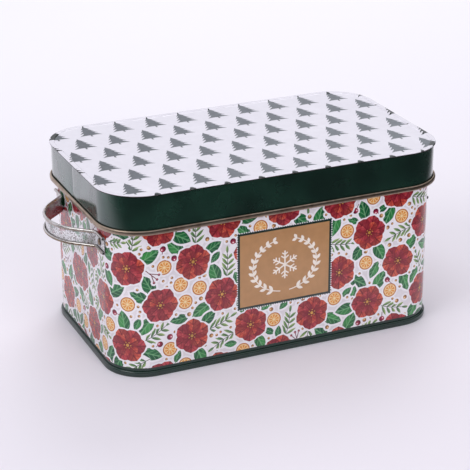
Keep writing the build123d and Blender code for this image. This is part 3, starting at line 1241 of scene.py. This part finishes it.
def make_base():
    middle = PLATE / 2
    inner = -FOLD - middle
    outer = FOOT_REACH - middle
    floor = BASE_RISE + middle
    shoulder = base_high.z - middle
    corners = [(BASE_FLAT_OUT, floor), (inner, floor), (inner, middle), (outer, middle), (outer, shoulder),
               (FOLD_GAP, shoulder)]
    line = Route(corners, [BASE_BEND_RADIUS, FOLD_RADIUS, FOLD_RADIUS, FOOT_SHOULDER_RADIUS]).points()
    section = sheet_section(line, PLATE)
    last = len(section) - 1
    shell = Shell()
    shell.sweep(section, BODY_RING, lambda n: "border_green" if n < len(line) else "tin", skip={last})
    for level, paint in ((BASE_RISE, "border_green"), (BASE_RISE + PLATE, "tin")):
        shell.plate(BODY_RING.outline(BASE_FLAT_OUT), level, paint)
    piece = shell.piece("base", ["border_green", "tin"])
    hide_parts("base_panel")
    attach(piece, "box")


def strap_route(side):
    """The handle's line in plan. The right handle is the left one turned half round."""
    wall = BODY_HALF_LENGTH + STRAP_PLATE / 2
    foot_end = strap_high.y
    bend = RIVET_ACROSS - RIVET_SETBACK
    slope = radians(HANDLE_SLOPE)
    apex = wall + bend * tan(slope)
    bow = strap_high.x - STRAP_CURL + STRAP_PLATE / 2
    bow_radius = (apex - bow) / (1 / cos(slope) - 1)
    corners = [(wall, -foot_end), (wall, -bend), (apex, 0), (wall, bend), (wall, foot_end)]
    radii = [STRAP_BEND_RADIUS, bow_radius, STRAP_BEND_RADIUS]
    return Route([(x * side, y * side) for x, y in corners], radii)


def make_strap(name, side):
    middle = (strap_low.z + strap_high.z) / 2
    half = (strap_high.z - strap_low.z - STRAP_CURL) / 2
    radius = (STRAP_CURL - STRAP_PLATE) / 2
    lower = roll((radius, middle - half), radius, 180.0, CURL_TURN)
    upper = roll((radius, middle + half), radius, 180.0, -CURL_TURN)
    line = lower[::-1] + braces(lower[0], upper[0], STRAP_SHADE_BAND) + upper
    section = sheet_section(line, STRAP_PLATE)
    face = len(lower)
    # Painted light and shade on the curled edges: dark tin on the strips of the face beside the curls and
    # where each curl turns back in, bright tin as a painted highlight on each curl's top, and mid and brown
    # tin as painted shade down their outer sides and undersides.
    bands = {face: "strap_face", face - 1: "groove", face + 1: "groove"}
    upper_curl_light_and_shade = ["groove"] * 2 + ["rivet_tin"] * 2 + ["tin_edge"] * 2
    lower_curl_light_and_shade = ["groove"] * 2 + ["tin"] * 3 + ["tin_edge"] + ["rivet_tin"] * 3
    bands.update({len(line) + n: paint for n, paint in enumerate(upper_curl_light_and_shade)})
    bands.update({len(section) - 2 - n: paint for n, paint in enumerate(lower_curl_light_and_shade)})
    shell = Shell()
    shell.sweep(section, strap_route(side), lambda n: bands.get(n, "tin"), closed=False)
    piece = shell.piece(name + "_strap", ["strap_face", "tin", "tin_edge", "rivet_tin", "groove"], 50.0)
    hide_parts(name + "_handle")
    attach(piece, "box")


def rivet_profile():
    """Radius and distance from the box's middle, from the tip of the tail inside to the tip of the head."""
    quarter = [pi / 2 * n / RIVET_STEPS for n in range(RIVET_STEPS + 1)]

    def dome(radius, height, face):
        return [(radius * sin(turn), face + height * cos(turn) ** RIVET_FULLNESS) for turn in quarter]

    tail = dome(RIVET_TAIL / 2, -RIVET_TAIL_HEIGHT, BODY_HALF_LENGTH - PLATE)
    head = dome(RIVET_HEAD / 2, RIVET_HEAD_HEIGHT, BODY_HALF_LENGTH + STRAP_PLATE)
    return tail + head[::-1]


def make_rivets(name, side):
    shell = Shell()
    level = (rivets_low.z + rivets_high.z) / 2
    turns = [tau * n / RIVET_SIDES for n in range(RIVET_SIDES)]
    for across in (-RIVET_ACROSS, RIVET_ACROSS):
        rows = []
        for radius, out in rivet_profile():
            rows.append(shell.add([
                (side * out, side * (across + radius * cos(turn)), level + radius * sin(turn))
                for turn in turns
            ]))
        head_rim = len(rows) // 2
        for number, (near, far) in enumerate(zip(rows, rows[1:])):
            # The two rings of the head next to the strap are painted dark tin: a painted shade round the
            # foot of the head.
            paint = "groove" if number in (head_rim, head_rim + 1) else "rivet_tin"
            for n in range(RIVET_SIDES):
                after = (n + 1) % RIVET_SIDES
                shell.face([near + n, near + after, far + after, far + n], paint)
    piece = shell.piece(name + "_rivet_pair", ["rivet_tin", "groove"])
    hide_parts(name + "_rivets")
    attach(piece, "box")


# Camera, light and floor

def make_camera():
    azimuth, elevation, roll_angle = map(radians, (CAMERA_AZIMUTH, CAMERA_ELEVATION, CAMERA_ROLL))
    turn = Matrix.Rotation(-azimuth, 3, "Z") @ Matrix.Rotation(pi / 2 - elevation, 3, "X")
    turn = turn @ Matrix.Rotation(roll_angle, 3, "Z")
    data = bpy.data.cameras.new("camera")
    data.sensor_width = SENSOR
    data.lens = CAMERA_LENS
    camera = new_object("camera", data)
    place = turn @ Vector((-CAMERA_ACROSS, -CAMERA_UP, CAMERA_DISTANCE))
    camera.matrix_world = Matrix.Translation(place) @ turn.to_4x4()
    bpy.context.scene.camera = camera


def make_lamp(name, place, size, power, reflected):
    """A round lamp that shines at the box."""
    data = bpy.data.lights.new(name, "AREA")
    data.shape = "DISK"
    data.size = size
    data.energy = power
    lamp = new_object(name, data)
    lamp.visible_glossy = reflected
    lamp.location = place
    lamp.rotation_euler = (-Vector(place)).to_track_quat("-Z", "Y").to_euler()


def make_world():
    """A studio that is bright overhead and to the left and dim at the horizon. Seen directly it is pale."""
    world = bpy.data.worlds.new("world")
    bpy.context.scene.world = world
    nodes = Nodes(world)
    way = nodes.node("TexCoord").outputs["Generated"]
    aim = nodes.node("VectorMath", {0: way, 1: WORLD_BRIGHT_SIDE}, operation="DOT_PRODUCT")
    studio = nodes.ramp(aim.outputs["Value"], WORLD_STOPS)
    nodes.set(nodes.tree.nodes["Background"], "Color", nodes.mix(nodes.seen(), studio, WORLD_SEEN))


def make_floor():
    """A pale floor that keeps the shadow near the box, painted lighter towards the back as painted light,
    and goes over into the plain background far off.
    """
    rim = disc(FLOOR_RADIUS, FLOOR_SIDES, (0, 0))
    mesh = new_mesh("floor", [(*corner, 0.0) for corner in rim], [range(FLOOR_SIDES)])
    floor = new_object("floor", mesh)
    paint = Paint("floor")
    level = paint.node("SeparateXYZ", {"Vector": paint.place}).outputs["Y"]
    depth = paint.math("DIVIDE", paint.math("SUBTRACT", level, FLOOR_NEAR), FLOOR_FAR - FLOOR_NEAR)
    # Painted light: the floor's colour lightens towards the back.
    colour = paint.ramp(depth, colours((0.0, 234, 229, 239), (1.0, 249, 247, 255)))
    away = paint.math("DIVIDE", paint.away(paint.place), FLOOR_RADIUS)
    far = paint.grey(away, (FLOOR_FADE[0], 0.0), (FLOOR_FADE[1], 1.0))
    share = paint.math("MULTIPLY", far, paint.seen())
    paint.set(paint.shader, "Emission Strength", share)
    colour = paint.mix(share, colour, BLACK)
    mesh.materials.append(paint.finish(colour, 0.6, Specular_IOR_Level=0.0, Emission_Color=WORLD_SEEN))


def make_card():
    """A dark card round the photographer's side, flat on the floor, upright behind, only for reflections."""
    start, end = CARD_SIDES
    around = [heading(start + (end - start) * n / CARD_STEPS) for n in range(CARD_STEPS + 1)]
    rows = ((CARD_INNER, CARD_LEVEL), (CARD_OUTER, CARD_LEVEL), (CARD_OUTER, CARD_HEIGHT))
    points = [(*(CARD_CENTRE + way * radius), level) for radius, level in rows for way in around]
    count = len(around)
    starts = [row * count + n for row in range(len(rows) - 1) for n in range(CARD_STEPS)]
    mesh = new_mesh("card", points, [(n, n + 1, n + count + 1, n + count) for n in starts])
    card = new_object("card", mesh)
    paint = Paint("card")
    share = paint.math("DIVIDE", paint.away(paint.place, (*CARD_CENTRE, 0.0)), CARD_OUTER)
    stops = colours((CARD_INNER / CARD_OUTER, 236, 232, 240), (CARD_DARK / CARD_OUTER, 30, 32, 36))
    mesh.materials.append(paint.finish(paint.ramp(share, stops), 0.9))
    card.visible_camera = False
    card.visible_diffuse = False
    card.visible_shadow = False


make_paints()
make_body()
make_skirt()
make_lid_top()
make_base()
for name, side in (("left", -1), ("right", 1)):
    make_strap(name, side)
    make_rivets(name, side)
make_camera()
make_world()
for lamp in LAMPS:
    make_lamp(*lamp)
make_floor()
make_card()
bpy.context.scene.view_settings.view_transform = "Standard"
